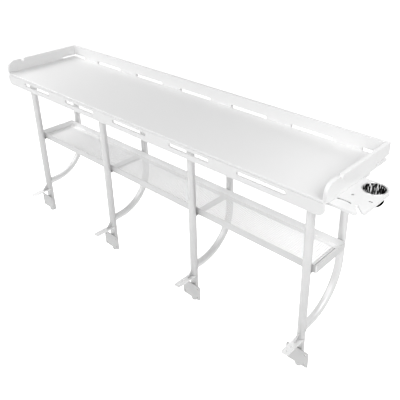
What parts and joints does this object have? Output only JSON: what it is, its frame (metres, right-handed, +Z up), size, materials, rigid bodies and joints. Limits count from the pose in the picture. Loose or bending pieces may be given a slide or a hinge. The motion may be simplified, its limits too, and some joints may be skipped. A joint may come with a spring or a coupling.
{
  "type": "fish cleaning table",
  "caption": "Long white fish cleaning table on bent-tube legs that bolt to a dock edge, with splash boards, a slotted apron and tray, and a side shelf with a lift-out drink holder.",
  "frame": {"origin": "middle of the front face of the left-hand leg's dock plate, the face that lies against the dock", "axes": "+X along the table towards the side shelf, +Y away from the dock and the user, +Z up"},
  "size_m": [2.584, 0.5784, 1.121],
  "materials": {
    "white_board": "lightly textured cutting-board plastic",
    "tube_metal": "mill finish, faintly drawn along the tube",
    "plate_metal": "flat bar and plate, satin",
    "tray_metal": "bent perforated sheet, satin",
    "cup_metal": "polished pressed stainless",
    "cap_plastic": "moulded end cap"
  },
  "bodies": {
    "table": {"top_board": "white_board", "splash_left": "white_board", "splash_right": "white_board", "splash_rear": "white_board", "front_apron": "white_board", "side_shelf": "white_board", "drain_tray": "tray_metal", "leg_1_post": "tube_metal", "leg_1_rear_tube": "tube_metal", "leg_1_foot_cap": "cap_plastic", "leg_1_top_rail": "plate_metal", "leg_1_tray_rail": "plate_metal", "leg_1_dock_plate": "plate_metal", "leg_1_dock_strap": "plate_metal", "leg_1_gusset": "plate_metal", "leg_2_post": "tube_metal", "leg_2_rear_tube": "tube_metal", "leg_2_foot_cap": "cap_plastic", "leg_2_top_rail": "plate_metal", "leg_2_tray_rail": "plate_metal", "leg_2_dock_plate": "plate_metal", "leg_2_dock_strap": "plate_metal", "leg_2_gusset": "plate_metal", "leg_3_post": "tube_metal", "leg_3_rear_tube": "tube_metal", "leg_3_foot_cap": "cap_plastic", "leg_3_top_rail": "plate_metal", "leg_3_tray_rail": "plate_metal", "leg_3_dock_plate": "plate_metal", "leg_3_dock_strap": "plate_metal", "leg_3_gusset": "plate_metal", "leg_4_post": "tube_metal", "leg_4_rear_tube": "tube_metal", "leg_4_foot_cap": "cap_plastic", "leg_4_top_rail": "plate_metal", "leg_4_tray_rail": "plate_metal", "leg_4_dock_plate": "plate_metal", "leg_4_dock_strap": "plate_metal", "leg_4_gusset": "plate_metal"},
    "drink_cup": {"cup_holder": "cup_metal"}
  },
  "joints": [
    {"name": "cup_lift", "type": "slide", "parent": "table", "child": "drink_cup", "axis": [0, 0, 1], "range_m": [0, 0.09]}
  ]
}
